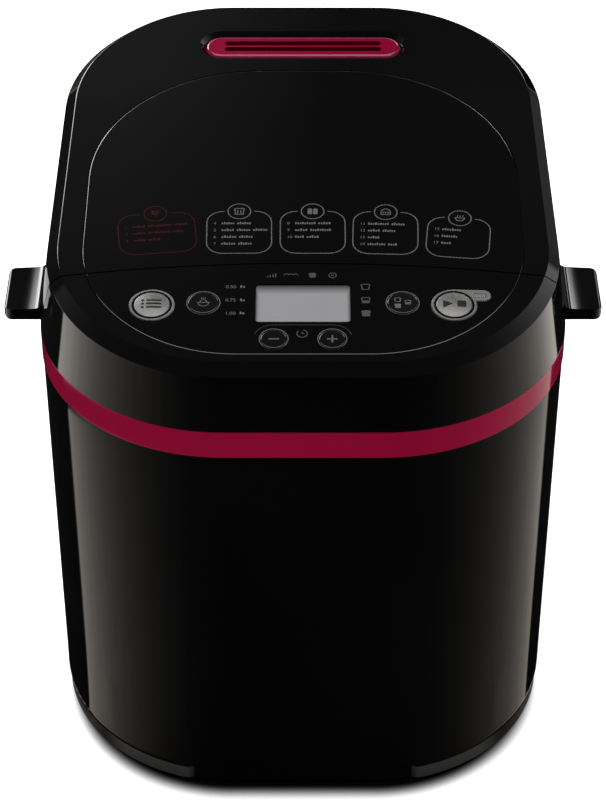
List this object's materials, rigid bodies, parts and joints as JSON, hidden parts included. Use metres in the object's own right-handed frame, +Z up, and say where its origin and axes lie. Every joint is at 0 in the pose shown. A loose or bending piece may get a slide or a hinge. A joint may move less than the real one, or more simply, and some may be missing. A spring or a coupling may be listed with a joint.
{
  "type": "bread machine",
  "caption": "Domestic bread machine with a hinged lid, control panel with push buttons and display, lift-out bread pan, kneading paddle and belt drive.",
  "frame": {"origin": "On the floor under the middle of the bounding box.", "axes": "+X to the right seen from the front, -Y to the front where the controls are, +Z up."},
  "size_m": [0.2996, 0.301, 0.3102],
  "materials": {
    "black_gloss": "smooth gloss",
    "panel_black": "high gloss",
    "crimson": "gloss, deep red",
    "dark_plastic": "fine grain",
    "key_black": "satin",
    "silver_trim": "satin silver",
    "display": "clear window over a pale grey display",
    "lamp": "clear",
    "board": "solder resist",
    "parts_dark": "moulded",
    "steel": "bare sheet",
    "aluminium": "bright",
    "nonstick": "dark non-stick coat",
    "heater_tube": "heat-darkened",
    "rubber": "matte",
    "brass": "turned",
    "cast_alloy": "as cast",
    "motor_paint": "satin"
  },
  "bodies": {
    "housing": {"base_plate": "dark_plastic", "foot_pads": "rubber", "base_screws": "steel", "lower_shell": "black_gloss", "cord_gland": "dark_plastic", "accent_band": "crimson", "top_frame": "dark_plastic", "hinge_pins": "steel", "front_housing": "black_gloss", "control_panel": "panel_black", "display_lens": "display", "display_module": "parts_dark", "menu_ring": "silver_trim", "start_ring": "silver_trim", "start_lamp": "lamp", "control_board": "board", "board_screws": "steel", "switches": "parts_dark", "power_board": "board", "power_parts": "parts_dark", "baking_chamber": "steel", "heating_element": "heater_tube", "heater_clips": "steel", "oven_probe": "steel", "pan_seat": "steel", "bearing_housing": "cast_alloy", "drive_belt": "rubber", "motor_case": "motor_paint", "chassis": "steel", "chassis_screws": "steel"},
    "lid": {"lid_cover": "black_gloss", "lid_panel": "panel_black", "left_tab": "black_gloss", "right_tab": "black_gloss", "vent_grille": "crimson", "lid_frame": "dark_plastic", "lid_screws": "steel", "lid_liner": "aluminium"},
    "drive": {"drive_shaft": "steel", "drive_coupler": "cast_alloy", "driven_pulley": "parts_dark"},
    "rotor": {"motor_pulley": "brass", "motor_shaft": "steel", "motor_fan": "parts_dark"},
    "pan": {"bread_pan": "nonstick", "pan_ears": "steel", "pan_collar": "aluminium", "pan_bush": "brass"},
    "pan_drive": {"pan_shaft": "steel", "pan_coupler": "cast_alloy"},
    "paddle": {"paddle": "nonstick"},
    "bail": {"bail_handle": "steel"},
    "menu_button": {"menu_button": "silver_trim"},
    "weight_button": {"weight_button": "key_black"},
    "minus_button": {"minus_button": "key_black"},
    "plus_button": {"plus_button": "key_black"},
    "crust_button": {"crust_button": "key_black"},
    "start_button": {"start_button": "silver_trim"}
  },
  "joints": [
    {"name": "lid_hinge", "type": "hinge", "parent": "housing", "child": "lid", "pos_m": [0, 0.147, 0.251], "axis": [-1, 0, 0], "range_deg": [0, 88]},
    {"name": "drive_spin", "type": "hinge", "parent": "housing", "child": "drive", "pos_m": [0, 0.04, 0.03], "axis": [0, 0, 1], "continuous": true},
    {"name": "motor_spin", "type": "hinge", "parent": "housing", "child": "rotor", "pos_m": [0, -0.096, 0.03], "axis": [0, 0, 1], "continuous": true},
    {"name": "pan_lift", "type": "slide", "parent": "housing", "child": "pan", "axis": [0, 0, 1], "range_m": [0, 0.024]},
    {"name": "pan_shaft_spin", "type": "hinge", "parent": "pan", "child": "pan_drive", "pos_m": [0, 0.04, 0.07], "axis": [0, 0, 1], "continuous": true},
    {"name": "paddle_lift", "type": "slide", "parent": "pan_drive", "child": "paddle", "axis": [0, 0, 1], "range_m": [0, 0.03]},
    {"name": "bail_swing", "type": "hinge", "parent": "pan", "child": "bail", "pos_m": [0, 0.04, 0.224], "axis": [-1, 0, 0], "range_deg": [0, 25]},
    {"name": "menu_button_press", "type": "slide", "parent": "housing", "child": "menu_button", "axis": [0, 0.108, -0.9942], "range_m": [0, 0.0012], "stiffness_N_per_m": 800},
    {"name": "weight_button_press", "type": "slide", "parent": "housing", "child": "weight_button", "axis": [0, 0.108, -0.9942], "range_m": [0, 0.0012], "stiffness_N_per_m": 800},
    {"name": "minus_button_press", "type": "slide", "parent": "housing", "child": "minus_button", "axis": [0, 0.108, -0.9942], "range_m": [0, 0.0012], "stiffness_N_per_m": 800},
    {"name": "plus_button_press", "type": "slide", "parent": "housing", "child": "plus_button", "axis": [0, 0.108, -0.9942], "range_m": [0, 0.0012], "stiffness_N_per_m": 800},
    {"name": "crust_button_press", "type": "slide", "parent": "housing", "child": "crust_button", "axis": [0, 0.108, -0.9942], "range_m": [0, 0.0012], "stiffness_N_per_m": 800},
    {"name": "start_button_press", "type": "slide", "parent": "housing", "child": "start_button", "axis": [0, 0.108, -0.9942], "range_m": [0, 0.0012], "stiffness_N_per_m": 800}
  ],
  "couplings": [
    {"joint": "motor_spin", "follows": "drive_spin", "ratio": 5},
    {"joint": "pan_shaft_spin", "follows": "drive_spin", "ratio": 1}
  ]
}
